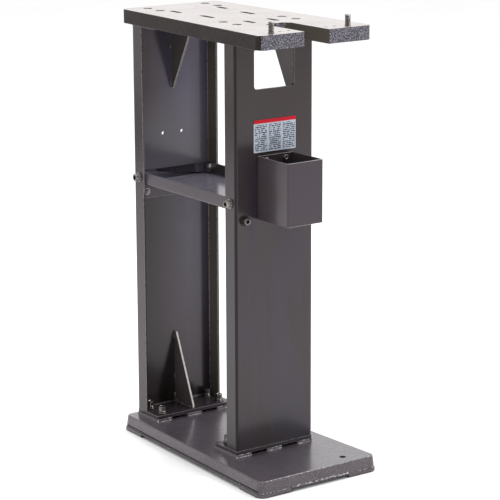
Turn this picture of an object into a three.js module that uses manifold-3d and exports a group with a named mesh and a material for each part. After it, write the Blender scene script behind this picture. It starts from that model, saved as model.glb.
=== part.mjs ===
// Pedestal stand for a bench machine: a cast base, two folded-steel channel columns that face each
// other, a cross tray between them, a cast top plate with a U notch, and an open tool box in front.
// Units are millimetres, +Z is up and the front (label and tool box) faces -Y.
// The origin is on the floor, at the middle of the base.
import * as THREE from "three";
import { mergeVertices } from "three/addons/utils/BufferGeometryUtils.js";
import Module from "manifold-3d";

const wasm = await Module();
wasm.setup();

// ---- driving dimensions ----
const HEIGHT = 762; // floor to the top plate's face
const GAP = 0.3; // air left where two parts touch

const BASE = { front: 121, back: 99.5, y0: -222, y1: 222, top: 28, corner: 11, lip: 4 };
const FOOT = 61; // side of each corner foot under the base
const ARCH = 5; // clearance under the base's edge between the feet
const SKIN = 10; // thickness of the base's top wall
const FLARE = 2.2; // the base's sides lean out this far at their foot
const EDGE = 1.8; // rounding of the base's top edge
const PAD = 4.4; // cast pads under the columns stand this proud of the base
const PAD_WIDTH = 30.4; // three pads side by side under each column

const PLATE = { front: 114, back: 98.5, y0: -212, y1: 214, thick: 24, corner: 12 };
const NOTCH = { half: 24.6, end: -99, corner: 14, mouth: 2 };

const WEB_FRONT = -97; // outer face of the front column's web
const WEB_BACK = 212; // outer face of the back column's web
const COLUMN = { half: 80, depth: 30, sheet: 4, bend: 5 };
const PLATE_END = { foot: 66, top: 74, thick: 6, corner: 3 }; // foot plate and top flange of a column

const FOOT_BOLT = { x: 62, near: 14, far: 52 }; // from the centre, and in from the web's outer face
const TOP_BOLT = { x: 60, near: 21.5, far: 60.5 };

const WINDOW = { half: 41, bottom: 655, top: 722, corner: 6 };
const GUSSET = { thick: 3.5, lowHigh: 131, upHigh: 115, lowWide: 57, upWide: 62, nose: 5, cope: 9 };
const UPPER_GUSSET_X = 44.5; // the front column's upper gussets stand beside the window

const TRAY = { floor: 453, lip: 475, tab: 424, sheet: 3, half: 75.7, bend: 4 };
const TRAY_SIDE = { y: 16.5, z: 466.5 }; // tray screws through the column flanges
const TRAY_END = { x: 62, z: 438 }; // tray screws through the column webs

const BOX = { half: 36.5, deep: 85, z0: 437.5, z1: 544, wall: 2, bend: 2.5 };
const BOX_SCREW = { x: 20, z: 536.5 };

const LABEL = { half: 43, z0: 549.5, z1: 604, thick: 0.6 };
const STUD = { x: 77, y: -193, radius: 5, stick: 18, pitch: 1.5 };
const SMALL_HOLE = { xs: [38, 55], y: -186, radius: 3 };
const ANCHOR = { x: 69, y: -197, radius: 5.5 };
const SLOTS = [
  { x: 48, y0: 106, y1: 136 },
  { x: 41.5, y0: 17, y1: 56 },
  { x: 24, y0: -76, y1: -45 },
];
const SLOT_RADIUS = 4.5;
const COUNTERBORE = { wider: 1.2, deeper: 1.2 }; // room round and above a sunk screw head

// Screw sizes. `high` is the head, `plate` the washer's thickness and `nut` the nut's.
const CHAMFER = 0.7;
const M8 = { shank: 4, clear: 4.5, head: 6.5, high: 8, washer: 8.8, plate: 1.6, flats: 6.5, nut: 6.5 };
const M5 = { shank: 2.5, clear: 2.9, head: 4.6, high: 3.4, washer: 4.8, plate: 0.4, flats: 4, nut: 4 };

const SPRING = { radius: 7.2, thick: 3.2 }; // spring washer under each foot screw's head

// ---- materials: one per surface finish ----
const FINISH = {
  cast: { color: 0x4b474a, roughness: 0.62, metalness: 0.1 },
  paint: { color: 0x514d4d, roughness: 0.42, metalness: 0.15 },
  zinc: { color: 0xb9b8b4, roughness: 0.3, metalness: 0.9 },
  black: { color: 0x26252a, roughness: 0.45, metalness: 0.6 },
  label: { color: 0xdfe4ea, roughness: 0.5, metalness: 0 },
};

const stand = new THREE.Group();
stand.name = "machine_stand";

// ---- solids ----

// Turns a closed geometry into a solid. Faces are turned round if they point inwards.
function solid(geometry) {
  const flat = geometry.index ? geometry.toNonIndexed() : geometry;
  const bare = new THREE.BufferGeometry();
  bare.setAttribute("position", flat.getAttribute("position"));
  const merged = mergeVertices(bare, 1e-4);
  const place = merged.getAttribute("position").array;
  const corner = merged.index.array;
  const kept = [];
  let volume = 0;
  for (let i = 0; i < corner.length; i += 3) {
    const [a, b, c] = [corner[i], corner[i + 1], corner[i + 2]];
    if (a === b || b === c || c === a) continue;
    kept.push(a, b, c);
    const [p, q, r] = [a, b, c].map((k) => new THREE.Vector3().fromArray(place, 3 * k));
    volume += p.dot(q.cross(r));
  }
  if (volume < 0) kept.reverse();
  return new wasm.Manifold(
    new wasm.Mesh({
      numProp: 3,
      vertProperties: new Float32Array(place),
      triVerts: new Uint32Array(kept),
    }),
  );
}

// Names a solid, gives it its finish and puts it in the stand.
function part(name, body, finish) {
  const shape = body.getMesh();
  const geometry = new THREE.BufferGeometry();
  const place = new THREE.BufferAttribute(new Float32Array(shape.vertProperties), 3);
  geometry.setAttribute("position", place);
  geometry.setIndex(Array.from(shape.triVerts));
  const flat = geometry.toNonIndexed();
  flat.computeVertexNormals();
  const mesh = new THREE.Mesh(flat, new THREE.MeshStandardMaterial(FINISH[finish]));
  mesh.name = name;
  stand.add(mesh);
}

const outline = (points) => new THREE.Shape(vectors(points));

// The three extrusions take an outline drawn in XY, in YZ or in XZ.
function alongZ(shape, z0, z1) {
  const g = new THREE.ExtrudeGeometry(shape, { depth: z1 - z0, bevelEnabled: false });
  return solid(g.translate(0, 0, z0));
}

function alongX(shape, x0, x1) {
  const g = new THREE.ExtrudeGeometry(shape, { depth: x1 - x0, bevelEnabled: false });
  const turn = new THREE.Matrix4().makeBasis(
    new THREE.Vector3(0, 1, 0),
    new THREE.Vector3(0, 0, 1),
    new THREE.Vector3(1, 0, 0),
  );
  return solid(g.applyMatrix4(turn).translate(x0, 0, 0));
}

function alongY(shape, y0, y1) {
  const g = new THREE.ExtrudeGeometry(shape, { depth: y1 - y0, bevelEnabled: false });
  return solid(g.rotateX(Math.PI / 2).translate(0, y1, 0));
}

function block(x0, x1, y0, y1, z0, z1) {
  const g = new THREE.BoxGeometry(x1 - x0, y1 - y0, z1 - z0);
  return solid(g.translate((x0 + x1) / 2, (y0 + y1) / 2, (z0 + z1) / 2));
}

// A closed outline with each corner rounded. Corners are [x, y, radius].
function rounded(corners, steps = 5) {
  const points = [];
  corners.forEach(([x, y, radius], i) => {
    const here = new THREE.Vector2(x, y);
    const before = corners[(i + corners.length - 1) % corners.length];
    const after = corners[(i + 1) % corners.length];
    const u = new THREE.Vector2(before[0], before[1]).sub(here).normalize();
    const v = new THREE.Vector2(after[0], after[1]).sub(here).normalize();
    if (!radius) {
      points.push([x, y]);
      return;
    }
    const half = Math.acos(THREE.MathUtils.clamp(u.dot(v), -1, 1)) / 2;
    const centre = here
      .clone()
      .add(u.clone().add(v).normalize().multiplyScalar(radius / Math.sin(half)));
    const start = here.clone().add(u.multiplyScalar(radius / Math.tan(half))).sub(centre);
    const end = here.clone().add(v.multiplyScalar(radius / Math.tan(half))).sub(centre);
    const from = Math.atan2(start.y, start.x);
    let sweep = Math.atan2(end.y, end.x) - from;
    if (sweep > Math.PI) sweep -= 2 * Math.PI;
    if (sweep < -Math.PI) sweep += 2 * Math.PI;
    for (let k = 0; k <= steps; k++) {
      const a = from + (sweep * k) / steps;
      points.push([centre.x + radius * Math.cos(a), centre.y + radius * Math.sin(a)]);
    }
  });
  return points;
}

// A rectangle with its four corners rounded.
function oblong(x0, x1, y0, y1, radius, steps = 5) {
  const corners = [
    [x0, y0, radius],
    [x1, y0, radius],
    [x1, y1, radius],
    [x0, y1, radius],
  ];
  return rounded(corners, steps);
}

function circle(x, y, radius, sides) {
  return Array.from({ length: sides }, (_, i) => {
    const a = (2 * Math.PI * (i + 0.5)) / sides;
    return [x + radius * Math.cos(a), y + radius * Math.sin(a)];
  });
}

const hexagon = (flats) => circle(0, 0, flats / Math.sqrt(3), 6);

const vectors = (points) => points.map(([x, y]) => new THREE.Vector2(x, y));

// Stacks outlines of the same length, given as [z, points], into one solid.
function loft(levels) {
  const count = levels[0][1].length;
  const place = [];
  const quad = (a, b, c, d) => place.push(...a, ...b, ...c, ...a, ...c, ...d);
  const at = (level, i) => [...levels[level][1][i % count], levels[level][0]];
  for (let k = 0; k + 1 < levels.length; k++) {
    for (let i = 0; i < count; i++) {
      quad(at(k, i), at(k, i + 1), at(k + 1, i + 1), at(k + 1, i));
    }
  }
  const last = levels.length - 1;
  for (let i = 1; i + 1 < count; i++) {
    place.push(...at(0, 0), ...at(0, i + 1), ...at(0, i));
    place.push(...at(last, 0), ...at(last, i), ...at(last, i + 1));
  }
  const g = new THREE.BufferGeometry();
  g.setAttribute("position", new THREE.BufferAttribute(new Float32Array(place), 3));
  return solid(g);
}

// A body of revolution about Z from [radius, z] points that start and end on the axis.
function turned(profile, sides) {
  const points = profile.map(([r, z]) => new THREE.Vector2(r, z));
  const g = new THREE.LatheGeometry(points, sides);
  return solid(g.rotateX(Math.PI / 2));
}

// Turns a body drawn about Z so that +Z points along `axis`, and moves it to `at`.
function placed(body, axis, at) {
  const shape = body.getMesh();
  const g = new THREE.BufferGeometry();
  const place = new THREE.BufferAttribute(new Float32Array(shape.vertProperties), 3);
  g.setAttribute("position", place);
  g.setIndex(Array.from(shape.triVerts));
  const turn = new THREE.Quaternion().setFromUnitVectors(
    new THREE.Vector3(0, 0, 1),
    new THREE.Vector3(...axis),
  );
  g.applyQuaternion(turn).translate(...at);
  return solid(g);
}

const drill = (axis, at, radius, depth, sides = 24) =>
  placed(alongZ(outline(circle(0, 0, radius, sides)), -depth, depth), axis, at);

// ---- fasteners ----

// Socket-head screw. z = 0 is the seat, the head is above it and the shank below.
// `washers` are stacked under the head, the lowest first.
function capScrew(size, length, washers, sides = 18) {
  const stack = [];
  let lift = 0;
  for (const { radius, thick } of washers) {
    stack.push([radius, lift], [radius, lift + thick]);
    lift += thick;
  }
  const top = lift + size.high;
  const body = turned(
    [
      [0, -length],
      [size.shank - CHAMFER, -length],
      [size.shank, CHAMFER - length],
      [size.shank, 0],
      ...stack,
      [size.head, lift],
      [size.head, top - CHAMFER],
      [size.head - CHAMFER, top],
      [0, top],
    ],
    sides,
  );
  return body.subtract(alongZ(outline(hexagon(size.flats)), top - size.high * 0.55, top + 1));
}

const flatWasher = (size) => ({ radius: size.washer, thick: size.plate });

// Hexagon nut on z = 0, bored clear of its screw.
function hexNut(size, high, sides = 18) {
  const flats = size.head * 2;
  const across = flats / Math.sqrt(3);
  const crown = turned(
    [
      [0, 0],
      [across - 0.9, 0],
      [across, 0.5],
      [across, high - 0.5],
      [across - 0.9, high],
      [0, high],
    ],
    sides,
  );
  const bore = alongZ(outline(circle(0, 0, size.shank + GAP, 14)), -1, high + 1);
  return alongZ(outline(hexagon(flats)), 0, high).intersect(crown).subtract(bore);
}

// ---- base ----

// The base's outline, moved outwards by `offset`.
function baseOutline(offset) {
  const { front, back, y0, y1, corner } = BASE;
  const r = Math.max(corner + offset, 2);
  return rounded([
    [-front - offset, y0 - offset, r],
    [front + offset, y0 - offset, r],
    [back + offset, y1 + offset, r],
    [-back - offset, y1 + offset, r],
  ]);
}

// A rounded band that runs round the base's edge between two heights.
function bead(z0, z1) {
  const { lip } = BASE;
  const soft = (z1 - z0) / 4;
  return loft([
    [z0, baseOutline(lip - 1.4)],
    [z0 + soft, baseOutline(lip)],
    [z1 - soft, baseOutline(lip - 0.2)],
    [z1, baseOutline(lip - 1.6)],
  ]);
}

// The corner blocks that stand for the feet. Their outer sides run past the base.
function corners(z0, z1) {
  const { front, back, y0, y1 } = BASE;
  const past = 30;
  const blocks = [];
  for (const side of [-1, 1]) {
    for (const [inner, outer, width] of [
      [y0 + FOOT, y0 - past, front],
      [y1 - FOOT, y1 + past, back],
    ]) {
      const [x0, x1] = [side * (width - FOOT), side * (width + past)].sort((a, b) => a - b);
      const [ya, yb] = [inner, outer].sort((a, b) => a - b);
      blocks.push(block(x0, x1, ya, yb, z0, z1));
    }
  }
  return blocks.reduce((all, one) => all.add(one));
}

const padY = (web, inward) => [web, web + inward * PLATE_END.foot].sort((a, b) => a - b);

function base() {
  const { top } = BASE;
  const skirt = loft([
    [ARCH, baseOutline(FLARE)],
    [ARCH + 7, baseOutline(FLARE * 0.8)],
    [top - EDGE, baseOutline(0)],
    [top - EDGE * 0.3, baseOutline(-EDGE * 0.3)],
    [top, baseOutline(-EDGE)],
  ]);
  const feet = bead(0, 7.4).intersect(corners(-1, 12));
  const arches = bead(ARCH, ARCH + 4.8).subtract(corners(-1, 20));
  const hollow = loft([
    [-1, baseOutline(-8)],
    [top - SKIN, baseOutline(-10)],
  ]).subtract(corners(-2, top));
  let body = skirt.add(feet).add(arches).subtract(hollow);
  const outermost = COLUMN.half - PAD_WIDTH / 2;
  for (const [web, inward] of [
    [WEB_FRONT, 1],
    [WEB_BACK, -1],
  ]) {
    const [ya, yb] = padY(web, inward);
    for (const x of [-outermost, 0, outermost]) {
      const [xa, xb] = [x - PAD_WIDTH / 2, x + PAD_WIDTH / 2];
      const pad = loft([
        [top - 1, oblong(xa - 1, xb + 1, ya - 1, yb + 1, 2, 2)],
        [top + PAD, oblong(xa, xb, ya, yb, 2, 2)],
      ]);
      body = body.add(pad);
    }
  }
  for (const [x, y] of boltPlaces(FOOT_BOLT)) {
    body = body.subtract(drill([0, 0, 1], [x, y, top], M8.clear, 40, 16));
  }
  body = body.subtract(drill([0, 0, 1], [ANCHOR.x, ANCHOR.y, 0], ANCHOR.radius, 60));
  part("base", body, "cast");
}

// The four screw places of each column's foot or top, front column first.
function boltPlaces({ x, near, far }) {
  const places = [];
  for (const [web, inward] of [
    [WEB_FRONT, 1],
    [WEB_BACK, -1],
  ]) {
    for (const side of [-1, 1]) {
      for (const deep of [near, far]) places.push([side * x, web + inward * deep]);
    }
  }
  return places;
}

// ---- columns ----

const footZ = BASE.top + PAD + GAP; // underside of a foot plate
const columnZ = footZ + PLATE_END.thick + GAP;
const plateZ = HEIGHT - PLATE.thick; // underside of the top plate
const flangeZ = plateZ - GAP - PLATE_END.thick;
const columnTop = flangeZ - GAP;

// A channel that opens towards `inward`, folded with round bends.
function channel(web, inward) {
  const { half, depth, sheet, bend } = COLUMN;
  const edge = web + inward * depth;
  const inside = web + inward * sheet;
  const inner = bend - sheet;
  const section = rounded([
    [-half, edge, 0.6],
    [-half, web, bend],
    [half, web, bend],
    [half, edge, 0.6],
    [half - sheet, edge, 0.6],
    [half - sheet, inside, inner],
    [-half + sheet, inside, inner],
    [-half + sheet, edge, 0.6],
  ]);
  return alongZ(outline(section), columnZ, columnTop);
}

function webHole(web, x, z, radius) {
  return drill([0, 1, 0], [x, web, z], radius, 12, 18);
}

function column(name, web, inward, hasWindow) {
  let body = channel(web, inward);
  for (const side of [-1, 1]) {
    body = body.subtract(webHole(web, side * TRAY_END.x, TRAY_END.z, M8.clear));
    body = body.subtract(webHole(web, side * BOX_SCREW.x, BOX_SCREW.z, M5.clear));
    const at = [side * COLUMN.half, web + inward * TRAY_SIDE.y, TRAY_SIDE.z];
    body = body.subtract(drill([1, 0, 0], at, M8.clear, 12, 18));
  }
  if (hasWindow) {
    const { half, bottom, top, corner } = WINDOW;
    const frame = oblong(-half, half, bottom, top, corner);
    body = body.subtract(alongY(outline(frame), web - 12, web + 12));
  }
  part(name, body, "paint");
}

// The flat plate at a column's foot or top, with four screw holes.
function endPlate(name, web, inward, deep, z0, bolts) {
  const { thick, corner } = PLATE_END;
  const { half } = COLUMN;
  const far = web + inward * deep;
  const shape = outline(oblong(-half, half, web, far, corner));
  for (const [x, y] of boltPlaces(bolts)) {
    if (Math.abs(y - web) > deep) continue;
    shape.holes.push(new THREE.Path(vectors(circle(x, y, M8.clear, 18))));
  }
  part(name, alongZ(shape, z0, z0 + thick), "paint");
}

// A triangular stiffener in the corner between a web and an end plate.
// `grow` is 1 when it rises from the foot and -1 when it hangs from the top.
function gusset(name, web, inward, x, z, grow, high, wide) {
  const { thick, nose, cope } = GUSSET;
  const root = web + inward * (COLUMN.sheet + GAP);
  const at = (out, up) => [root + inward * out, z + grow * up];
  const shape = outline([
    at(cope, 0),
    at(wide, 0),
    at(wide, nose),
    at(nose, high),
    at(0, high),
    at(0, cope),
  ]);
  part(name, alongX(shape, x - thick / 2, x + thick / 2), "paint");
}

// ---- top plate ----

function topPlate() {
  const { front, back, y0, y1, corner } = PLATE;
  const { half, end } = NOTCH;
  const shape = outline(
    rounded([
      [-front, y0, corner],
      [-half, y0, NOTCH.mouth],
      [-half, end, NOTCH.corner],
      [half, end, NOTCH.corner],
      [half, y0, NOTCH.mouth],
      [front, y0, corner],
      [back, y1, corner * 0.8],
      [-back, y1, corner * 0.8],
    ]),
  );
  const cut = (points) => shape.holes.push(new THREE.Path(vectors(points)));
  for (const side of [-1, 1]) {
    for (const { x, y0: a, y1: b } of SLOTS) {
      cut(oblong(side * x - SLOT_RADIUS, side * x + SLOT_RADIUS, a, b, SLOT_RADIUS * 0.98));
    }
    for (const x of SMALL_HOLE.xs) cut(circle(side * x, SMALL_HOLE.y, SMALL_HOLE.radius, 16));
    cut(circle(side * STUD.x, STUD.y, STUD.radius + GAP, 20));
  }
  for (const [x, y] of boltPlaces(TOP_BOLT)) cut(circle(x, y, M8.clear, 20));
  let body = alongZ(shape, plateZ, HEIGHT);
  for (const [x, y] of boltPlaces(TOP_BOLT)) {
    const bore = circle(x, y, M8.head + COUNTERBORE.wider, 24);
    body = body.subtract(alongZ(outline(bore), HEIGHT - M8.high - COUNTERBORE.deeper, HEIGHT + 1));
  }
  part("top_plate", body, "cast");
}

// A threaded stud through an arm of the top plate, with a ring for each turn of the thread.
function stud(name, side) {
  const { radius, stick, pitch } = STUD;
  const profile = [
    [0, -PLATE.thick + 1],
    [radius, -PLATE.thick + 1],
    [radius, 0.8],
  ];
  for (let z = 1; z + pitch < stick - 1; z += pitch) {
    profile.push([radius - 0.8, z + pitch * 0.5], [radius, z + pitch]);
  }
  profile.push([radius - 1.2, stick], [0, stick]);
  part(name, placed(turned(profile, 18), [0, 0, 1], [side * STUD.x, STUD.y, HEIGHT]), "zinc");
}

// ---- cross tray ----

function crossTray() {
  const { floor, lip, tab, sheet, half, bend } = TRAY;
  const [ya, yb] = [WEB_FRONT + COLUMN.sheet + GAP, WEB_BACK - COLUMN.sheet - GAP];
  const clear = 3; // the lips stop short of the columns' bends
  const trough = rounded([
    [-half, lip, 0.5],
    [-half, floor, bend],
    [half, floor, bend],
    [half, lip, 0.5],
    [half - sheet, lip, 0.5],
    [half - sheet, floor + sheet, bend - sheet],
    [-half + sheet, floor + sheet, bend - sheet],
    [-half + sheet, lip, 0.5],
  ]);
  let body = alongY(outline(trough), ya + clear, yb - clear);
  for (const [end, inward] of [
    [ya, 1],
    [yb, -1],
  ]) {
    const far = end + inward * 12; // the fold's root runs into the tray's floor
    const face = end + inward * sheet;
    const fold = rounded([
      [far, floor, 0],
      [far, floor + sheet, 0],
      [end, floor + sheet, bend],
      [end, tab, 0],
      [face, tab, 0],
      [face, floor, bend - sheet],
    ]);
    body = body.add(alongX(outline(fold), -half + 7, half - 7));
  }
  for (const web of [WEB_FRONT, WEB_BACK]) {
    const inward = web === WEB_FRONT ? 1 : -1;
    for (const side of [-1, 1]) {
      body = body.subtract(webHole(web, side * TRAY_END.x, TRAY_END.z, M8.clear));
      const at = [side * COLUMN.half, web + inward * TRAY_SIDE.y, TRAY_SIDE.z];
      body = body.subtract(drill([1, 0, 0], at, M8.clear, 12, 18));
    }
  }
  part("cross_tray", body, "paint");
}

// ---- tool box and label ----

function toolBox() {
  const { half, deep, z0, z1, wall, bend } = BOX;
  const back = WEB_FRONT - GAP;
  const ring = (inset) =>
    oblong(-half + inset, half - inset, back - deep + inset, back - inset, bend - inset, 3);
  let body = alongZ(outline(ring(0)), z0, z1);
  body = body.subtract(alongZ(outline(ring(wall)), z0 + wall, z1 + 1));
  for (const side of [-1, 1]) {
    body = body.subtract(webHole(back, side * BOX_SCREW.x, BOX_SCREW.z, M5.clear));
  }
  part("tool_box", body, "paint");
}

function label() {
  const { half, z0, z1, thick } = LABEL;
  const face = WEB_FRONT - GAP;
  const sheet = outline(oblong(-half, half, z0, z1, 1.5, 3));
  part("label_plate", alongY(sheet, face - thick, face), "label");
}

// ---- assembly ----

base();
const COLUMNS = [
  { name: "front", web: WEB_FRONT, inward: 1, hasWindow: true },
  { name: "back", web: WEB_BACK, inward: -1, hasWindow: false },
];
for (const { name, web, inward, hasWindow } of COLUMNS) {
  column(`${name}_column`, web, inward, hasWindow);
  endPlate(`${name}_foot_plate`, web, inward, PLATE_END.foot, footZ, FOOT_BOLT);
  endPlate(`${name}_top_flange`, web, inward, PLATE_END.top, flangeZ, TOP_BOLT);
  gusset(`${name}_lower_gusset`, web, inward, 0, columnZ, 1, GUSSET.lowHigh, GUSSET.lowWide);
}
const hang = [columnTop, -1, GUSSET.upHigh, GUSSET.upWide];
gusset("back_upper_gusset", WEB_BACK, -1, 0, ...hang);
gusset("front_upper_gusset_left", WEB_FRONT, 1, -UPPER_GUSSET_X, ...hang);
gusset("front_upper_gusset_right", WEB_FRONT, 1, UPPER_GUSSET_X, ...hang);

topPlate();
stud("stud_left", -1);
stud("stud_right", 1);
crossTray();
toolBox();
label();

// Screws through the foot plates into the base, and through the top plate into the top flanges.
const footLength = PLATE_END.thick + GAP + PAD + SKIN + 4;
boltPlaces(FOOT_BOLT).forEach(([x, y], i) => {
  const at = [x, y, footZ + PLATE_END.thick + GAP];
  const screw = capScrew(M8, footLength, [flatWasher(M8), SPRING]);
  part(`foot_screw_${i + 1}`, placed(screw, [0, 0, 1], at), "zinc");
});
const topSeat = HEIGHT - M8.high - COUNTERBORE.deeper + GAP;
boltPlaces(TOP_BOLT).forEach(([x, y], i) => {
  const at = [x, y, topSeat];
  const length = topSeat - flangeZ;
  part(`top_screw_${i + 1}`, placed(capScrew(M8, length, []), [0, 0, 1], at), "black");
});

// Tray screws: one through each flange and lip, and one through each web and tray tab.
const sideStack = COLUMN.sheet + GAP + TRAY.sheet + GAP;
let count = 0;
for (const { name, web, inward } of COLUMNS) {
  for (const [hand, side] of [
    ["left", -1],
    ["right", 1],
  ]) {
    count += 1;
    const y = web + inward * TRAY_SIDE.y;
    const seat = [side * (COLUMN.half + GAP), y, TRAY_SIDE.z];
    const sideLength = sideStack + M8.nut + 2.5;
    const screw = capScrew(M8, sideLength, [flatWasher(M8)]);
    part(`tray_side_screw_${count}`, placed(screw, [side, 0, 0], seat), "zinc");
    const nutAt = [side * (COLUMN.half - sideStack), y, TRAY_SIDE.z];
    part(`tray_side_nut_${count}`, placed(hexNut(M8, M8.nut), [-side, 0, 0], nutAt), "zinc");
    const endSeat = [side * TRAY_END.x, web - inward * GAP, TRAY_END.z];
    part(`tray_end_screw_${name}_${hand}`, placed(screw, [0, -inward, 0], endSeat), "zinc");
    const endNut = [side * TRAY_END.x, web + inward * sideStack, TRAY_END.z];
    part(`tray_end_nut_${name}_${hand}`, placed(hexNut(M8, M8.nut), [0, inward, 0], endNut), "zinc");
  }
}

// The tool box hangs on two small screws with nuts inside the front column.
const boxBack = WEB_FRONT - GAP - BOX.wall;
for (const [hand, side] of [
  ["left", -1],
  ["right", 1],
]) {
  const x = side * BOX_SCREW.x;
  const length = BOX.wall + GAP + COLUMN.sheet + GAP + M5.nut + 1.5;
  const seat = [x, boxBack - GAP, BOX_SCREW.z];
  const screw = capScrew(M5, length, [flatWasher(M5)], 14);
  part(`box_screw_${hand}`, placed(screw, [0, -1, 0], seat), "zinc");
  const nutAt = [x, WEB_FRONT + COLUMN.sheet + GAP, BOX_SCREW.z];
  part(`box_nut_${hand}`, placed(hexNut(M5, M5.nut, 14), [0, 1, 0], nutAt), "zinc");
}

export default stand;
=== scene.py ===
"""Looks for the machine stand: cast base, two channel columns, cross tray, top plate and tool box.

Everything is in metres in the CAD frame: +Z is up and the front, with the tool box, faces -Y.
"""

import math
import random

import bmesh
import bpy
from mathutils import Matrix, Vector


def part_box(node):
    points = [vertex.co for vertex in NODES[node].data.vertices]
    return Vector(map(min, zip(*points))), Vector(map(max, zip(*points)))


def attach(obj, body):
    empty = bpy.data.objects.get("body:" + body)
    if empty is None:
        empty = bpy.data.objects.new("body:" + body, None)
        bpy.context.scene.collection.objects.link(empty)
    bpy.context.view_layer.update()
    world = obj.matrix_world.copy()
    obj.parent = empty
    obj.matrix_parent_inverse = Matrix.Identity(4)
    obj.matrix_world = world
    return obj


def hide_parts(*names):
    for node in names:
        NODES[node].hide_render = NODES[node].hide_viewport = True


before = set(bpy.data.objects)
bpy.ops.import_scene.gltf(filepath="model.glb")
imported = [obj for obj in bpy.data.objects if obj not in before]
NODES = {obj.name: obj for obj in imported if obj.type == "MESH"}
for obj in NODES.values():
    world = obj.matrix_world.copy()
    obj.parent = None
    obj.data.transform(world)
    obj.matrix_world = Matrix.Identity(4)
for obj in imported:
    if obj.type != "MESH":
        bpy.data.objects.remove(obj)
bpy.context.view_layer.update()
MM = 0.001

# Directions in the shared frame.
UP = Vector((0, 0, 1))
FRONT = Vector((0, -1, 0))
BACK = Vector((0, 1, 0))
LEFT = Vector((-1, 0, 0))
RIGHT = -LEFT
FRONT_LEFT = (FRONT + LEFT).normalized()

# Height of the top plate's face, where its recessed screws end.
PLATE_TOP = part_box("top_screw_1")[1].z

# The base: the upper line of the bead round its foot, how far its wear and painted highlight reach
# from that line and how far above it the painted shade lies, and a height between the bead and the
# top.
BEAD_LINE = 8.6 * MM
BEAD_WIDTH = 1.6 * MM
BASE_RIM = 20 * MM

# The notch in the plate's front edge lies within this half width, and in front of this Y.
NOTCH_HALF = 30 * MM
NOTCH_BACK = -90 * MM

# The columns' sheet, and how far out the inside of their flanges is.
SHEET = 4 * MM
FLANGE_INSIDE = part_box("back_column")[1].x - SHEET

# Heights just below and just above the cross tray's floor.
UNDER_TRAY = 450 * MM
OVER_TRAY = 458 * MM

# Degrees that an edge turns, above which it looks sharp, and above which it gets a small round.
SMOOTH_ANGLE = 38
BEVEL_ANGLE = 40

# How closely a face looks along a direction, as a cosine, to be given that direction's material.
FACING = 0.72

# The camera: degrees round from the front, above the level and about its own axis.
CAMERA_AZIMUTH, CAMERA_PITCH, CAMERA_ROLL = 35.65, 13.45, -0.23
CAMERA_TARGET = Vector((0.01852, 0.0, 0.35825))
CAMERA_DISTANCE = 3.727

# Its focal length and sensor width, in millimetres.
CAMERA_LENS = 155.9
CAMERA_SENSOR = 36

# Colours of the paints, in linear light.
PAINT = (0.025, 0.02, 0.021)
WEB_PAINT = (0.031, 0.025, 0.025)
INNER_PAINT = (0.031, 0.024, 0.023)
BOX_PAINT = (0.034, 0.025, 0.028)
CAST = (0.042, 0.034, 0.038)
# The top plate's paint: the base's paint made darker, painted shade on its sides.
PLATE_SHADED_CAST = (0.012, 0.009, 0.007)


# ---- camera, floor and light ----


def aim(obj, place, target):
    """Puts an object somewhere with its -Z towards a target."""
    obj.location = place
    obj.rotation_euler = (Vector(target) - Vector(place)).to_track_quat("-Z", "Y").to_euler()


def add_camera():
    """The camera stands to the left of the front and a little above, with a long lens."""
    azimuth = math.radians(CAMERA_AZIMUTH)
    pitch = math.radians(CAMERA_PITCH)
    roll = math.radians(CAMERA_ROLL)
    back = Vector(
        (
            -math.sin(azimuth) * math.cos(pitch),
            -math.cos(azimuth) * math.cos(pitch),
            math.sin(pitch),
        )
    )
    level = UP.cross(back).normalized()
    above = back.cross(level)
    x = level * math.cos(roll) + above * math.sin(roll)
    y = above * math.cos(roll) - level * math.sin(roll)
    data = bpy.data.cameras.new("camera")
    data.sensor_width = CAMERA_SENSOR
    data.lens = CAMERA_LENS
    data.clip_end = 100
    camera = bpy.data.objects.new("camera", data)
    bpy.context.scene.collection.objects.link(camera)
    turn = Matrix((x, y, back)).transposed().to_4x4()
    camera.matrix_world = Matrix.Translation(CAMERA_TARGET + back * CAMERA_DISTANCE) @ turn
    bpy.context.scene.camera = camera


def soft_light(name, place, target, size, power):
    """A rectangular light that the camera doesn't see."""
    data = bpy.data.lights.new(name, "AREA")
    data.shape = "RECTANGLE"
    data.size, data.size_y = size
    data.energy = power
    light = bpy.data.objects.new(name, data)
    light.visible_camera = False
    bpy.context.scene.collection.objects.link(light)
    aim(light, place, target)


def add_sky():
    """Even white light from all round."""
    world = bpy.data.worlds.new("studio")
    world.use_nodes = True
    sky = world.node_tree.nodes["Background"]
    sky.inputs["Color"].default_value = (1, 1, 1, 1)
    sky.inputs["Strength"].default_value = 1.03
    bpy.context.scene.world = world


def add_floor():
    """A wide, pale floor."""
    bpy.ops.mesh.primitive_circle_add(vertices=96, radius=30, fill_type="NGON")
    floor = bpy.context.object
    floor.name = "floor"
    floor.data.materials.append(floor_material())


def add_card():
    """A dark card on the floor, which only shows in glossy faces that look left and back."""
    bpy.ops.mesh.primitive_grid_add(x_subdivisions=1, y_subdivisions=1, size=1)
    card = bpy.context.object
    card.name = "card"
    card.scale = (1.6, 1.2, 1)
    card.location = (-1.9, 2.6, 0.02)
    card.rotation_euler.z = math.radians(36)
    card.visible_camera = False
    card.visible_diffuse = False
    card.visible_shadow = False
    card.data.materials.append(card_material())


def add_studio():
    """Pale surroundings with a soft box above, a narrow strip light and a dark card."""
    bpy.context.scene.view_settings.view_transform = "Standard"
    add_sky()
    add_floor()
    soft_light("overhead", (0.6, 0.6, 3.0), (0.2, 0.2, 0), (3.0, 3.0), 80)
    soft_light("strip", (1.2, -0.7, 2.2), (0, 0, 0.4), (0.25, 1.2), 14)
    add_card()


# ---- material nodes ----


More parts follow.
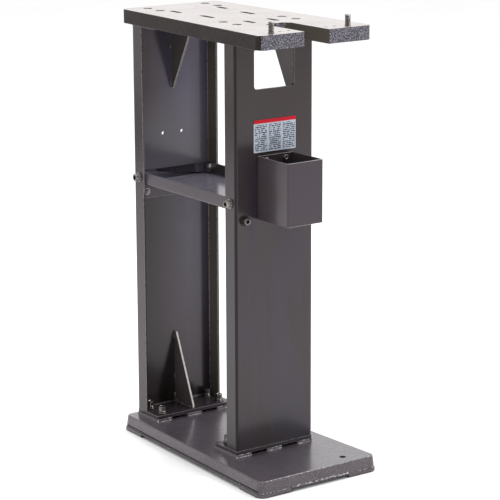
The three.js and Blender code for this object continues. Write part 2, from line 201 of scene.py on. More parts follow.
class Shader:
    """A material with one principled shader, and short calls for the nodes that feed it."""

    def __init__(self, name, colour, roughness, metallic=0.0):
        self.material = bpy.data.materials.new(name)
        self.material.use_nodes = True
        self.material.diffuse_color = (*colour, 1)
        self.tree = self.material.node_tree
        self.bsdf = self.tree.nodes["Principled BSDF"]
        self.put("Base Color", (*colour, 1))
        self.put("Roughness", roughness)
        self.put("Metallic", metallic)
        self.place = self.add("ShaderNodeTexCoord").outputs["Object"]

    def add(self, kind, **settings):
        """A new node of a kind."""
        node = self.tree.nodes.new(kind)
        for key, value in settings.items():
            setattr(node, key, value)
        return node

    def feed(self, socket, value):
        """Links another node's socket to this one, or sets its value."""
        if isinstance(value, bpy.types.NodeSocket):
            self.tree.links.new(value, socket)
        else:
            socket.default_value = value

    def put(self, name, value):
        """Feeds one of the shader's own sockets."""
        self.feed(self.bsdf.inputs[name], value)

    def stretched(self, scale):
        """The place on the object, scaled along each axis."""
        node = self.add("ShaderNodeMapping")
        self.feed(node.inputs["Vector"], self.place)
        node.inputs["Scale"].default_value = scale
        return node.outputs["Vector"]

    def noise(self, scale, detail=3.0, rough=0.5, place=None):
        node = self.add("ShaderNodeTexNoise")
        self.feed(node.inputs["Vector"], place or self.place)
        node.inputs["Scale"].default_value = scale
        node.inputs["Detail"].default_value = detail
        node.inputs["Roughness"].default_value = rough
        return node.outputs["Fac"]

    def range(self, value, low, high, out_low, out_high):
        """Turns the range from low to high into the range from out_low to out_high."""
        node = self.add("ShaderNodeMapRange")
        self.feed(node.inputs["Value"], value)
        for name, number in (
            ("From Min", low),
            ("From Max", high),
            ("To Min", out_low),
            ("To Max", out_high),
        ):
            node.inputs[name].default_value = number
        return node.outputs["Result"]

    def spots(self, low, high, scale, detail=3.0, rough=0.5):
        """Patches of noise, 0 where it is below low and 1 where it is above high."""
        return self.range(self.noise(scale, detail, rough), low, high, 0, 1)

    def rough(self, smoothest, roughest, scale, detail=3.0, spread=0.2):
        """Roughness that wanders between two values."""
        wander = self.noise(scale, detail)
        self.put("Roughness", self.range(wander, 0.5 - spread, 0.5 + spread, smoothest, roughest))

    def math(self, operation, a, b=0.0):
        node = self.add("ShaderNodeMath", operation=operation)
        self.feed(node.inputs[0], a)
        self.feed(node.inputs[1], b)
        return node.outputs["Value"]

    def mix(self, factor, a, b):
        """A colour between a, at factor 0, and b, at factor 1."""
        node = self.add("ShaderNodeMix", data_type="RGBA")
        self.feed(node.inputs["Factor"], factor)
        for socket, value in ((node.inputs["A"], a), (node.inputs["B"], b)):
            self.feed(socket, (*value, 1) if isinstance(value, tuple) else value)
        return node.outputs["Result"]

    def bump(self, height, strength, distance):
        """Fine relief in the shading."""
        node = self.add("ShaderNodeBump")
        node.inputs["Strength"].default_value = strength
        node.inputs["Distance"].default_value = distance
        self.feed(node.inputs["Height"], height)
        self.put("Normal", node.outputs["Normal"])

    def front(self):
        """How far the surface faces the front, from -1 to 1."""
        node = self.add("ShaderNodeSeparateXYZ")
        self.feed(node.inputs["Vector"], self.add("ShaderNodeNewGeometry").outputs["Normal"])
        return self.math("MULTIPLY", node.outputs["Y"], -1.0)

    def axis(self, name):
        """The place on the object along one axis, in metres."""
        node = self.add("ShaderNodeSeparateXYZ")
        self.feed(node.inputs["Vector"], self.place)
        return node.outputs[name]


def floor_material():
    """Pale grey, barely mottled."""
    s = Shader("floor", (0.93, 0.93, 0.93), 0.8)
    s.put("Base Color", s.mix(s.spots(0.3, 0.7, 1.5), (0.92, 0.92, 0.92), (0.94, 0.94, 0.94)))
    return s.material


def card_material():
    """Dark matt grey."""
    s = Shader("card", (0.12, 0.12, 0.12), 0.9)
    s.put("Base Color", s.mix(s.spots(0.3, 0.7, 3), (0.11, 0.11, 0.11), (0.13, 0.13, 0.13)))
    return s.material


def tint(colour, factors):
    """A colour with each of its channels scaled."""
    return tuple(c * f for c, f in zip(colour, factors))


def paint_material(name, colour, roughness=0.25, painted_light=None, gloss=0.46):
    """Semi-gloss powder coat: warm and cool mottling, uneven gloss and a fine orange peel.

    An optional function given last paints light and shade into the colour over the surface.
    """
    s = Shader(name, colour, roughness)
    s.put("Specular IOR Level", gloss)
    s.put("Specular Tint", (1.0, 0.92, 0.985, 1))
    cloud = s.spots(0.25, 0.75, 7, 4, 0.55)
    shade = s.mix(cloud, tint(colour, (0.9, 0.82, 0.7)), tint(colour, (1.15, 1.15, 1.5)))
    s.put("Base Color", painted_light(s, shade) if painted_light else shade)
    s.rough(roughness - 0.06, roughness + 0.02, 6, 2, 0.3)
    s.put("Coat Weight", 0.1)
    s.put("Coat Roughness", 0.12)
    s.bump(s.noise(620, 2, 0.5), 0.3, 0.1 * MM)
    return s.material


def web_painted_light(s, shade):
    """Painted light on the front column: painted shade high up under the top plate, browner there,
    darker towards the bottom, and cool streaks low down that are painted sheen.
    """
    z = s.axis("Z")
    streak = s.noise(1.0, 3, 0.6, s.stretched((26, 26, 5)))
    # Painted shade: browner and darker high up, under the top plate.
    shade = s.mix(s.range(z, 0.5, 0.68, 0, 0.8), shade, (0.024, 0.017, 0.011))
    # Painted sheen: cool streaks low down, mixed in last.
    cool = s.math("MULTIPLY", s.range(streak, 0.42, 0.62, 0, 1), s.range(z, 0.6, 0.42, 0, 1))
    # Darker towards the bottom.
    shade = s.mix(s.range(z, 0.45, 0.3, 0, 1), shade, (0.019, 0.015, 0.015))
    return s.mix(cool, shade, (0.021, 0.018, 0.027))


def inner_painted_light(s, shade):
    """Painted light on the back column's inside: a cool painted sheen high on its web, kept off
    its left part where the left flange's shadow falls, painted shade below the tray, a lighter
    painted reflection of the tray just above it, and painted light on the right flange's inner
    face.
    """
    x, z = s.axis("X"), s.axis("Z")
    inside = s.range(s.front(), 0.5, 0.9, 0, 1)
    # Painted shade: the web turns near black below the tray, most on its left.
    low = s.math("MULTIPLY", s.range(z, 0.47, 0.42, 0, 1), s.range(x, 0.03, -0.03, 0.6, 1))
    web = s.mix(low, shade, (0.006, 0.003, 0.001))
    # Painted sheen, high on the web and fading to its left, where the left flange's shadow falls.
    across = s.range(x, -0.05, 0.03, 0, 1)
    high = s.range(z, 0.12, 0.6, 0.1, 1)
    cloud = s.range(s.noise(11, 3), 0.25, 0.75, 0.6, 1)
    sheen = s.math("MULTIPLY", across, s.math("MULTIPLY", high, cloud))
    web = s.mix(sheen, web, (0.11, 0.105, 0.155))
    # Painted reflection of the tray: lighter just above the tray's floor.
    over_tray = s.math("MULTIPLY", s.range(z, 0.62, 0.48, 0, 1), s.math("GREATER_THAN", z, 0.44))
    web = s.mix(over_tray, web, (0.125, 0.12, 0.14))
    # Painted light: the right flange's inner face is lighter and warmer.
    off_flange = s.math("ABSOLUTE", s.math("SUBTRACT", x, FLANGE_INSIDE))
    on_flange = s.math("LESS_THAN", off_flange, 1.5 * MM)
    return s.mix(on_flange, s.mix(inside, shade, web), (0.08, 0.07, 0.058))


def notch_painted_light(s, shade):
    """Painted light: the walls of the notch in the plate's front edge are lighter and browner."""
    near = s.math("LESS_THAN", s.math("ABSOLUTE", s.axis("X")), NOTCH_HALF)
    in_notch = s.math("MULTIPLY", near, s.math("LESS_THAN", s.axis("Y"), NOTCH_BACK))
    return s.mix(in_notch, shade, (0.062, 0.054, 0.044))


def edge_material(name, colour, bare=0.5, base_lines=False):
    """Thin worn paint on cut and folded edges, where flecks of bare steel show.

    `bare` is the share of the edge that is worn bright. `base_lines` keeps the bright wear mostly
    to faces that look to the front, and on the base to its top edge and the upper line of the
    bead: painted highlight there as well as wear.
    """
    s = Shader(name, colour, 0.3, 0.35)
    wear = s.spots(0.6 - bare * 0.3, 0.7 - bare * 0.25, 260, 4, 0.7)
    if base_lines:
        # Painted highlight: the bright wear is kept to faces that look to the front.
        front = s.range(s.front(), 0.1, 0.35, 0.06, 1)
        height = s.axis("Z")
        bead = s.math("ABSOLUTE", s.math("SUBTRACT", height, BEAD_LINE))
        line = s.math("LESS_THAN", bead, BEAD_WIDTH)
        rim = s.math("GREATER_THAN", height, BASE_RIM)
        wear = s.math("MULTIPLY", wear, s.math("MULTIPLY", front, s.math("MAXIMUM", line, rim)))
        s.put("Specular IOR Level", 0.12)
    s.put("Base Color", s.mix(wear, tint(colour, (0.1, 0.09, 0.1)), colour))
    s.rough(0.24, 0.42, 300)
    return s.material


def cast_material(name, colour, coat=0.3, gloss=0.5, painted_light=None, groove=False):
    """Paint over a sand-cast skin: pebbled at 5 mm, with finer grain and flecks over it.

    `groove` paints shade: a dark, duller line in the crease just above the bead round the base's
    foot, but not on faces that look to the front.
    """
    s = Shader(name, colour, 0.4)
    cloud = s.spots(0.3, 0.7, 22, 5, 0.6)
    shade = s.mix(cloud, tint(colour, (0.75, 0.75, 0.75)), tint(colour, (1.3, 1.3, 1.3)))
    shade = s.mix(s.spots(0.5, 0.66, 430, 4, 0.7), shade, tint(colour, (3.2, 3.1, 3.4)))
    # An optional function given last paints light and shade into the colour.
    if painted_light:
        shade = painted_light(s, shade)
    if groove:
        # Painted shade: a dark, duller line in the crease just above the bead, kept off faces that
        # look to the front.
        off = s.math("ABSOLUTE", s.math("SUBTRACT", s.axis("Z"), BEAD_LINE + BEAD_WIDTH))
        unshaded = s.range(off, 0.6 * MM, 1.5 * MM, 0, 1)
        unshaded = s.math("MAXIMUM", unshaded, s.range(s.front(), 0.1, 0.6, 0, 1))
        shade = s.mix(unshaded, tint(colour, (0.1, 0.1, 0.1)), shade)
        gloss = s.math("MULTIPLY", unshaded, gloss)
        coat = s.math("MULTIPLY", unshaded, coat)
    s.put("Base Color", shade)
    s.rough(0.28, 0.42, 120, 4)
    s.put("Specular IOR Level", gloss)
    s.put("Specular Tint", (1.0, 0.92, 0.97, 1))
    s.put("Coat Weight", coat)
    s.put("Coat Roughness", 0.2)
    pebble = s.math("MULTIPLY", s.noise(210, 3, 0.55), 2.2)
    s.bump(s.math("ADD", pebble, s.noise(800, 2, 0.6)), 0.6, 0.3 * MM)
    return s.material


def rough_cast_material(name):
    """The plate's rough front ends: silvery crystals in dark paint."""
    s = Shader(name, (0.2, 0.19, 0.24), 0.35, 0.4)
    grain = s.noise(430, 4, 0.7)
    fleck = s.range(grain, 0.45, 0.63, 0, 1)
    s.put("Base Color", s.mix(fleck, (0.02, 0.018, 0.023), (0.3, 0.285, 0.34)))
    s.rough(0.25, 0.5, 500)
    s.bump(grain, 1.0, 1.2 * MM)
    return s.material


def ground_material(name):
    """Milled steel: bright, with faint tool lines along the plate and a few dull patches."""
    s = Shader(name, (0.6, 0.56, 0.55), 0.3, 0.85)
    lines = s.noise(1.0, 4, 0.7, s.stretched((1500, 18, 1)))
    bright = s.mix(s.spots(0.35, 0.7, 20, 4, 0.6), (0.59, 0.55, 0.54), (0.5, 0.46, 0.445))
    streak = s.range(lines, 0.3, 0.7, 0, 0.25)
    s.put("Base Color", s.mix(streak, bright, (0.45, 0.42, 0.41)))
    s.put("Roughness", s.range(lines, 0.3, 0.7, 0.22, 0.34))
    s.bump(lines, 0.2, 0.06 * MM)
    return s.material


def metal_material(name, colour, roughness, stain, metallic=0.9):
    """Plated or oxidised steel with small stains and a fine grain."""
    s = Shader(name, colour, roughness, metallic)
    s.put("Base Color", s.mix(s.spots(0.45, 0.68, 330, 4, 0.65), colour, stain))
    s.rough(roughness - 0.07, roughness + 0.12, 500)
    s.bump(s.noise(1500, 3, 0.6), 0.2, 0.1 * MM)
    return s.material


def weld_material(name):
    """Painted weld metal, a little bare on its ripples."""
    s = Shader(name, (0.06, 0.055, 0.055), 0.32, 0.3)
    heat = s.spots(0.35, 0.65, 180, 4, 0.6)
    s.put("Base Color", s.mix(heat, (0.045, 0.04, 0.04), (0.16, 0.15, 0.145)))
    s.rough(0.24, 0.4, 420)
    s.bump(s.noise(700, 3), 0.4, 0.2 * MM)
    return s.material


def label_material(name, node):
    """A printed plate: a red band over three columns of dark dashes that spell nothing."""
    low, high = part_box(node)
    columns, column_share = 3.0, 0.43
    rows_per_metre, row_share = 310.0, 0.3
    words_per_metre, row_offset = 330.0, 7.3
    band_foot = high.z - 6.2 * MM
    text_top = high.z - 8.5 * MM
    text_foot = low.z + 2 * MM
    s = Shader(name, (0.66, 0.71, 0.78), 0.5)
    s.put("Specular IOR Level", 0.2)
    x, z = s.axis("X"), s.axis("Z")
    across = s.range(x, low.x, high.x, 0, 1)
    column = s.math("FRACT", s.math("MULTIPLY", across, columns))
    aside = s.math("ABSOLUTE", s.math("SUBTRACT", column, 0.5))
    in_column = s.math("LESS_THAN", aside, column_share)
    rows = s.math("MULTIPLY", z, rows_per_metre)
    off_row = s.math("ABSOLUTE", s.math("SUBTRACT", s.math("FRACT", rows), 0.5))
    in_row = s.math("LESS_THAN", off_row, row_share)
    spot = s.add("ShaderNodeCombineXYZ")
    s.feed(spot.inputs["X"], s.math("MULTIPLY", x, words_per_metre))
    s.feed(spot.inputs["Y"], s.math("MULTIPLY", s.math("FLOOR", rows), row_offset))
    words = s.math("GREATER_THAN", s.noise(1.0, 1, 0.5, spot.outputs["Vector"]), 0.44)
    ink = s.math("MULTIPLY", s.math("MULTIPLY", in_column, in_row), words)
    below_band = s.math("LESS_THAN", z, text_top)
    above_foot = s.math("GREATER_THAN", z, text_foot)
    ink = s.math("MULTIPLY", s.math("MULTIPLY", ink, below_band), above_foot)
    page = s.mix(ink, (0.46, 0.51, 0.58), (0.03, 0.035, 0.06))
    band = s.math("GREATER_THAN", z, band_foot)
    s.put("Base Color", s.mix(band, page, (0.5, 0.002, 0.015)))
    s.rough(0.42, 0.55, 60)
    s.bump(s.noise(900, 2), 0.1, 0.05 * MM)
    return s.material


# ---- finish of the CAD nodes ----


def smoothing_group(name, angle, faces):
    """A node group that shades smoothly up to an angle and gives chosen faces a material.

    faces holds (material, direction, lowest z): faces that look that way above that height.
    A fourth value replaces FACING.
    """
    group = bpy.data.node_groups.new(name, "GeometryNodeTree")
    group.interface.new_socket("Geometry", in_out="INPUT", socket_type="NodeSocketGeometry")
    group.interface.new_socket("Geometry", in_out="OUTPUT", socket_type="NodeSocketGeometry")
    add, link = group.nodes.new, group.links.new

    def calculate(operation, a, b):
        """A node that works on two numbers or sockets."""
        node = add("ShaderNodeMath")
        node.operation = operation
        for socket, value in zip(node.inputs, (a, b)):
            if isinstance(value, bpy.types.NodeSocket):
                link(value, socket)
            else:
                socket.default_value = value
        return node.outputs["Value"]

    flow = add("NodeGroupInput").outputs["Geometry"]
    if faces:
        normal = add("GeometryNodeInputNormal").outputs["Normal"]
        split = add("ShaderNodeSeparateXYZ")
        link(add("GeometryNodeInputPosition").outputs["Position"], split.inputs["Vector"])
        for material, direction, lowest, *limit in faces:
            facing = add("ShaderNodeVectorMath")
            facing.operation = "DOT_PRODUCT"
            link(normal, facing.inputs[0])
            facing.inputs[1].default_value = direction
            closely = limit[0] if limit else FACING
            towards = calculate("GREATER_THAN", facing.outputs["Value"], closely)
            above = calculate("GREATER_THAN", split.outputs["Z"], lowest)
            put = add("GeometryNodeSetMaterial")
            put.inputs["Material"].default_value = material
            link(flow, put.inputs["Geometry"])
            link(calculate("MULTIPLY", towards, above), put.inputs["Selection"])
            flow = put.outputs["Geometry"]
    turn = add("GeometryNodeInputMeshEdgeAngle").outputs["Unsigned Angle"]
    shade = add("GeometryNodeSetMeshNormal")
    shade.mode = "SHARPNESS"
    link(flow, shade.inputs["Mesh"])
    shade.inputs["Remove Custom"].default_value = True
    link(calculate("GREATER_THAN", turn, angle), shade.inputs["Edge Sharpness"])
    link(shade.outputs["Mesh"], add("NodeGroupOutput").inputs["Geometry"])
    return group


def dress(node, material, bevel=0.7 * MM, edge=None, faces=()):
    """Gives a CAD node its finish, small round edges and smooth shading."""
    obj = NODES[node]
    obj.data.materials.clear()
    obj.data.materials.append(material)
    if edge:
        obj.data.materials.append(edge)
    merge = obj.modifiers.new("merge", "WELD")
    merge.merge_threshold = 0.01 * MM
    flat = obj.modifiers.new("flat", "DECIMATE")
    flat.decimate_type = "DISSOLVE"
    flat.angle_limit = math.radians(0.5)
    if bevel:
        soft = obj.modifiers.new("soft_edges", "BEVEL")
        soft.width = bevel
        soft.segments = 2
        soft.limit_method = "ANGLE"
        soft.angle_limit = math.radians(BEVEL_ANGLE)
        soft.use_clamp_overlap = False
        if edge:
            soft.material = 1
    smooth = obj.modifiers.new("smooth", "NODES")
    smooth.node_group = smoothing_group(f"smooth_{node}", math.radians(SMOOTH_ANGLE), faces)
    level = obj.modifiers.new("level", "WEIGHTED_NORMAL")
    level.keep_sharp = True
    level.weight = 100


# ---- the materials ----

# Paint, bare edges and castings.
paint = paint_material("paint", PAINT)
# The front column's paint carries painted shade and painted sheen.
web_paint = paint_material("web_paint", WEB_PAINT, 0.25, web_painted_light)
# The back column's paint carries painted light and shade on its inside.
inner_paint = paint_material("inner_paint", INNER_PAINT, 0.2, inner_painted_light)
# Painted reflection: a light paint for the tray's floor and the faces above it that look to the
# front.
tray_painted_reflection = paint_material("tray_painted_reflection", (0.15, 0.143, 0.158), 0.2)
lip_paint = paint_material("lip_paint", (0.044, 0.037, 0.038))
# Painted light: a lighter copy of the tool box's paint for its left side.
box_side_painted_light = paint_material("box_side_painted_light", (0.046, 0.038, 0.038))
box_paint = paint_material("box_paint", BOX_PAINT)
# Painted shade: a near-black, duller paint for the fold at the front column's front left corner.
bend_painted_shade = paint_material("bend_painted_shade", (0.012, 0.009, 0.009), 0.24, gloss=0.2)
warm_paint = paint_material("warm_paint", (0.056, 0.047, 0.04), 0.22)
paint_edge = edge_material("paint_edge", (0.22, 0.21, 0.21), 0.8)
cut_edge = edge_material("cut_edge", (0.62, 0.6, 0.58), 1.0)
# The base's paint carries painted shade in the crease over its bead.
cast = cast_material("cast_paint", CAST, 0.4, 0.5, groove=True)
cast_top = cast_material("cast_top", (0.043, 0.037, 0.043), 1.0)
# The cast edges: bright wear, kept to the front, that is partly painted highlight.
cast_wear_and_highlight = edge_material("cast_wear_and_highlight", (0.62, 0.6, 0.63), 0.42, True)
# Painted shade: a darker, duller copy of the cast paint for the plate's sides; painted light in
# its notch.
plate_shaded_cast = cast_material("plate_shaded_cast", PLATE_SHADED_CAST, 0.0, 0.18, notch_painted_light)
rough_cast = rough_cast_material("rough_cast")
ground = ground_material("ground_face")

# Screws, nuts, studs, welds and the label.
bright_zinc = metal_material("bright_zinc", (0.62, 0.59, 0.57), 0.2, (0.4, 0.38, 0.37))
zinc = metal_material("zinc", (0.24, 0.225, 0.22), 0.16, (0.1, 0.09, 0.085))
dull_steel = metal_material("dull_steel", (0.19, 0.175, 0.17), 0.22, (0.07, 0.065, 0.06))
# Painted highlight: a light, half-metallic steel for the sides of the tray's side screw heads.
painted_highlight_steel = metal_material("painted_highlight_steel", (0.5, 0.48, 0.46), 0.25, (0.08, 0.075, 0.07), 0.5)
oxide = metal_material("black_oxide", (0.03, 0.028, 0.03), 0.4, (0.06, 0.055, 0.055))
weld_metal = weld_material("weld_metal")
label_print = label_material("label_print", "label_plate")


def dress_castings():
    """The base, with a glossier top, and the plate, ground on top and rough at its front ends."""
    dress("base", cast, 0.7 * MM, cast_wear_and_highlight, [(cast_top, UP, BASE_RIM)])
    plate_faces = [(ground, UP, PLATE_TOP - 0.3 * MM), (rough_cast, FRONT, 0.0)]
    dress("top_plate", plate_shaded_cast, 0.6 * MM, cast_wear_and_highlight, plate_faces)


def dress_sheet():
    """The columns, the cross tray, the tool box and the label plate."""
    # Painted shade: a dark line along the front column's fold at its front left corner.
    front_bend_shade = [(bend_painted_shade, FRONT_LEFT, 0.0, 0.95)]
    # Painted highlight: bright worn paint along the back column's inner fold at its right flange.
    back_bend_highlight = [(paint_edge, FRONT_LEFT, 0.0)]
    dress("front_column", web_paint, 0.5 * MM, paint_edge, front_bend_shade)
    dress("back_column", inner_paint, 0.5 * MM, paint_edge, back_bend_highlight)
    # The tray's floor and the front-facing faces above it take the painted reflection.
    tray_reflection_faces = [(tray_painted_reflection, UP, UNDER_TRAY), (tray_painted_reflection, FRONT, OVER_TRAY)]
    dress("cross_tray", lip_paint, 0.5 * MM, paint_edge, tray_reflection_faces)
    # The box's left side takes the lighter paint, painted light.
    dress("tool_box", box_paint, 0.35 * MM, cut_edge, [(box_side_painted_light, LEFT, 0.0)])
    dress("label_plate", label_print, 0.1 * MM)


def dress_small_parts():
    """The plates and flanges on the columns' ends, the gussets and the nuts."""
    for node in NODES:
        if node.endswith(("_foot_plate", "_top_flange")):
            dress(node, paint, 0.5 * MM, paint_edge)
        elif "gusset" in node:
            # The lower gussets' sloped ends are bright bare metal: partly wear, partly a painted
            # highlight.
            slope_highlight = [(cut_edge, (0, y, 0.39), 0.0) for y in (-0.92, 0.92)]
            dress(node, warm_paint, 0.4 * MM, cut_edge, slope_highlight if "lower" in node else [])
        elif "nut" in node:
            dress(node, zinc if "end" in node else bright_zinc, 0.25 * MM)


# ---- pieces built here ----


def finish_piece(name, bm, materials, replaced=None, angle=SMOOTH_ANGLE):
    """Turns built geometry into a piece that rides on the stand."""
    bmesh.ops.remove_doubles(bm, verts=bm.verts, dist=0.01 * MM)
    bmesh.ops.dissolve_degenerate(bm, edges=bm.edges, dist=0.005 * MM)
    bmesh.ops.recalc_face_normals(bm, faces=bm.faces)
    mesh = bpy.data.meshes.new(name)
    bm.to_mesh(mesh)
    bm.free()
    for face in mesh.polygons:
        face.use_smooth = True
    mesh.set_sharp_from_angle(angle=math.radians(angle))
    for material in materials:
        mesh.materials.append(material)
    piece = bpy.data.objects.new(name, mesh)
    bpy.context.scene.collection.objects.link(piece)
    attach(piece, "root")
    if replaced:
        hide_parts(replaced)


def skin(bm, rings):
    """Joins rings of equal length with quads, and closes each end with a fan."""
    rows = [[bm.verts.new(p) for p in loop] for loop in rings]
    for low, high in zip(rows, rows[1:]):
        for i in range(len(low)):
            k = (i + 1) % len(low)
            bm.faces.new((low[i], low[k], high[k], high[i]))
    for row in (rows[0], rows[-1]):
        middle = bm.verts.new(sum((v.co for v in row), Vector()) / len(row))
        for i in range(len(row)):
            bm.faces.new((row[i], row[(i + 1) % len(row)], middle))


def ring(radius, z, sides, ridge=0.0):
    """A circle about +Z. `ridge` draws every other point in, which makes a knurl."""
    points = []
    for i in range(sides):
        a = math.tau * i / sides
        r = radius - ridge * (i % 2)
        points.append(Vector((r * math.cos(a), r * math.sin(a), z)))
    return points


def hexagon_ring(flats, z, sides):
    """A hexagon about +Z with as many points as a circle has."""
    points = []
    for i in range(sides):
        a = math.tau * i / sides
        off = (a % (math.tau / 6)) - math.tau / 12
        r = flats / 2 / math.cos(off)
        points.append(Vector((r * math.cos(a), r * math.sin(a), z)))
    return points


def thread(bm, radius, depth, pitch, low, high, sides=24):
    """A closed rod about +Z with a real helical thread, chamfered at both ends."""
    steps = 6
    turns = math.ceil((high - low) / pitch) + 2
    columns = []
    for i in range(sides + 1):
        a = math.tau * i / sides
        column = []
        for k in range(turns * steps + 1):
            z = low + pitch * (k / steps - 1 + i / sides)
            tooth = abs(((k / steps) % 1) * 2 - 1)
            r = radius - depth * min(1.0, max(0.0, tooth * 1.5 - 0.25))
            near = min(z - low, high - z)
            r = min(r, radius - depth * 1.25 + max(near, 0.0))
            z = min(max(z, low), high)
            column.append(bm.verts.new((r * math.cos(a), r * math.sin(a), z)))
        columns.append(column)
    for left, right in zip(columns, columns[1:]):
        for k in range(turns * steps):
            bm.faces.new((left[k], right[k], right[k + 1], left[k + 1]))
    bmesh.ops.remove_doubles(bm, verts=bm.verts, dist=0.02 * MM)
    bmesh.ops.dissolve_degenerate(bm, edges=bm.edges, dist=0.02 * MM)
    bmesh.ops.holes_fill(bm, edges=[e for e in bm.edges if e.is_boundary], sides=0)


def washer(bm, radius, bore, low, thick, sides=40):
    """A flat washer with soft edges, as one closed ring about +Z."""
    soft = thick * 0.3
    section = [
        (bore, low),
        (radius - soft, low),
        (radius, low + soft),
        (radius, low + thick - soft),
        (radius - soft, low + thick),
        (bore, low + thick),
    ]
    rows = [[bm.verts.new(p) for p in ring(r, z, sides)] for r, z in section]
    for low_row, high_row in zip(rows, rows[1:] + rows[:1]):
        for i in range(sides):
            k = (i + 1) % sides
            bm.faces.new((low_row[i], low_row[k], high_row[k], high_row[i]))


# Screw sizes in millimetres: shank radius, head radius, head height, socket and thread pitch.
M8 = (4.0, 6.5, 8.0, 6.5, 1.25)
M5 = (2.5, 4.6, 3.4, 4.0, 0.8)

# Washers under each head, the uppermost first: radius and thickness in millimetres.
FLAT = (8.8, 1.6)
SPRING = (7.2, 3.2)
SMALL_FLAT = (4.8, 0.4)

# Places of a screw's finishes in its list of materials. The face of the head comes first.
SOCKET, SIDE, WASHER = 1, 2, 3


def screw_head(bm, radius, high, flats, knurl, sides=48):
    """A cylindrical head with its top at z 0, a knurled side and a hexagon socket."""
    soft = high * 0.09
    ridge = knurl * radius
    skin(
        bm,
        [
            ring(radius - soft, -high, sides),
            ring(radius, -high + soft, sides),
            ring(radius, -high + soft * 2, sides, ridge),
            ring(radius, -soft * 2.2, sides, ridge),
            ring(radius, -soft * 1.6, sides),
            ring(radius - soft * 0.5, -soft * 0.4, sides),
            ring(radius - soft * 1.4, 0, sides),
            hexagon_ring(flats * 1.12, 0, sides),
            hexagon_ring(flats, -soft * 0.6, sides),
            hexagon_ring(flats, -high * 0.55, sides),
            hexagon_ring(flats * 0.4, -high * 0.62, sides),
        ],
    )
    for face in bm.faces:
        spot = face.calc_center_median()
        if spot.z < -soft * 0.7:
            in_socket = math.hypot(spot.x, spot.y) < flats * 0.6
            face.material_index = SOCKET if in_socket else SIDE


def add_rod(bm, radius, pitch, low, high):
    """Adds a threaded rod about +Z to geometry that has faces already."""
    rod = bmesh.new()
    thread(rod, radius, pitch * 0.5, pitch, low, high)
    mesh = bpy.data.meshes.new("rod")
    rod.to_mesh(mesh)
    rod.free()
    bm.from_mesh(mesh)
    bpy.data.meshes.remove(mesh)


def cap_screw(node, axis, size, washers, materials, knurl=0.03):
    """A socket-head screw with washers and a threaded end, in a CAD screw's place.

    `axis` points out of the head, and `knurl` is a share of the head's radius.
    """
    lo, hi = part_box(node)
    axis = Vector(axis)
    length = abs((hi - lo).dot(axis))
    end = (lo + hi) / 2 + axis * length / 2
    shank, head, high, flats, pitch = (v * MM for v in size)
    bm = bmesh.new()
    screw_head(bm, head, high, flats, knurl)
    head_faces = len(bm.faces)
    lift = -high
    for radius, thick in washers:
        lift -= thick * MM
        washer(bm, radius * MM, shank * 1.05, lift, thick * MM)
    for face in list(bm.faces)[head_faces:]:
        face.material_index = WASHER
    add_rod(bm, shank, pitch, -length, -high + 0.2 * MM)
    turn = UP.rotation_difference(axis).to_matrix().to_4x4()
    bmesh.ops.transform(bm, matrix=Matrix.Translation(end) @ turn, verts=bm.verts)
    finish_piece(f"{node}_fine", bm, materials, node)


def add_screws():
    """A fine screw in the place of each CAD screw."""
    foot_finish = (zinc, oxide, dull_steel, dull_steel)
    top_finish = (dull_steel, oxide, oxide)
    # The side screws' head sides take the light steel: painted highlight.
    side_finish = (dull_steel, oxide, painted_highlight_steel, zinc)
    end_finish = (dull_steel, oxide, dull_steel, oxide)
    box_finish = (bright_zinc, oxide, zinc, zinc)
    for node in NODES:
        if "screw" not in node:
            continue
        lo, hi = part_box(node)
        if node.startswith("foot_screw"):
            cap_screw(node, UP, M8, (SPRING, FLAT), foot_finish)
        elif node.startswith("top_screw"):
            cap_screw(node, UP, M8, (), top_finish)
        elif node.startswith("tray_side"):
            outwards = LEFT if lo.x + hi.x < 0 else RIGHT
            cap_screw(node, outwards, M8, (FLAT,), side_finish, 0.0)
        elif node.startswith("tray_end"):
            outwards = FRONT if "front" in node else BACK
            cap_screw(node, outwards, M8, (FLAT,), end_finish)
        else:
            cap_screw(node, FRONT, M5, (SMALL_FLAT,), box_finish)


def add_studs():
    """An M10 thread in the place of each CAD stud."""
    for node in ("stud_left", "stud_right"):
        lo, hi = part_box(node)
        middle = (lo + hi) / 2
        stud = bmesh.new()
        thread(stud, 5 * MM, 0.85 * MM, 1.5 * MM, lo.z, hi.z, 32)
        bmesh.ops.translate(stud, vec=(middle.x, middle.y, 0), verts=stud.verts)
        finish_piece(f"{node}_thread", stud, (zinc,), node)


# A weld bead: points round it, the step between its rings, and the length of one ripple.
BEAD_SIDES = 12
BEAD_STEP = 0.55 * MM
RIPPLE = 2.2 * MM

# A gusset's stitches: their length, how far up it and how far out along its end they are.
STITCH = 9 * MM
STITCHES_UP = (0.12, 0.4, 0.97)
STITCHES_OUT = (18 * MM, 44 * MM)


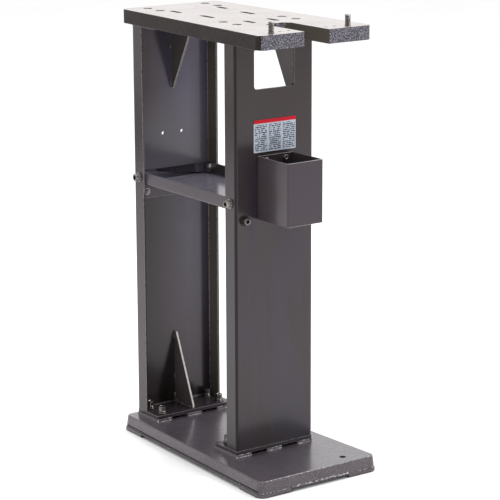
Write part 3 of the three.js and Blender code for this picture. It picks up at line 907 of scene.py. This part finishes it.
def weld(name, start, end, radius=2.3 * MM):
    """A rippled bead along a line, round at both ends."""
    start, end = Vector(start), Vector(end)
    along = (end - start).normalized()
    length = (end - start).length
    side = along.orthogonal().normalized()
    other = along.cross(side)
    luck = random.Random(name)
    steps = max(8, int(length / BEAD_STEP))
    rings = []
    for k in range(steps + 1):
        t = length * k / steps
        taper = math.sqrt(max(0.02, 1 - max(0.0, 1 - min(t, length - t) / radius) ** 2))
        wave = 0.86 + 0.14 * abs(math.sin(math.pi * t / RIPPLE))
        r = radius * taper * wave * luck.uniform(0.95, 1.05)
        wander = luck.uniform(-0.12, 0.12) * MM
        loop = []
        for i in range(BEAD_SIDES):
            a = math.tau * i / BEAD_SIDES
            spoke = side * math.cos(a) + other * math.sin(a)
            loop.append(start + along * t + spoke * r + side * wander)
        rings.append(loop)
    bm = bmesh.new()
    skin(bm, rings)
    finish_piece(name, bm, (weld_metal,), angle=60)


def column_welds(name, column, foot, top, inward):
    """Beads along the foot and the top of a column's inside.

    `inward` is 1 or -1, the way along Y from the column's web to its open side.
    """
    lo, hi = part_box(column)
    outer, tip = (hi.y, lo.y) if inward < 0 else (lo.y, hi.y)
    web = outer + inward * SHEET
    inside = hi.x - SHEET
    corner, gusset = 6 * MM, 12 * MM
    for place, z in (("foot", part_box(foot)[1].z), ("top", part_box(top)[0].z)):
        for hand, x in (("left", -1), ("right", 1)):
            start, end = (x * gusset, web, z), (x * (inside - corner), web, z)
            weld(f"{name}_{place}_web_weld_{hand}", start, end)
            start, end = (x * inside, web + inward * corner, z), (x * inside, tip, z)
            weld(f"{name}_{place}_flange_weld_{hand}", start, end)


def gusset_welds(node, inward, rises):
    """Stitches up both sides of a gusset where it meets the web, and along its end plate."""
    lo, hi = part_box(node)
    web = hi.y if inward < 0 else lo.y
    root, nose = (lo.z, hi.z) if rises else (hi.z, lo.z)
    up = 1 if rises else -1
    radius = 2 * MM
    for hand, x in (("left", lo.x), ("right", hi.x)):
        for number, share in enumerate(STITCHES_UP):
            z = root + (nose - root) * share
            weld(f"{node}_weld_{hand}_{number}", (x, web, z), (x, web, z - up * STITCH), radius)
        for number, out in enumerate(STITCHES_OUT, len(STITCHES_UP)):
            y = web + inward * out
            start, end = (x, y, root), (x, y + inward * STITCH, root)
            weld(f"{node}_weld_{hand}_{number}", start, end, radius)


def add_welds():
    """The beads inside both columns, and the gussets' stitches."""
    column_welds("back", "back_column", "back_foot_plate", "back_top_flange", -1)
    column_welds("front", "front_column", "front_foot_plate", "front_top_flange", 1)
    for node in NODES:
        if "gusset" in node:
            gusset_welds(node, 1 if node.startswith("front") else -1, "lower" in node)


dress_castings()
dress_sheet()
dress_small_parts()
add_screws()
add_studs()
add_welds()
add_camera()
add_studio()

bpy.context.view_layer.update()
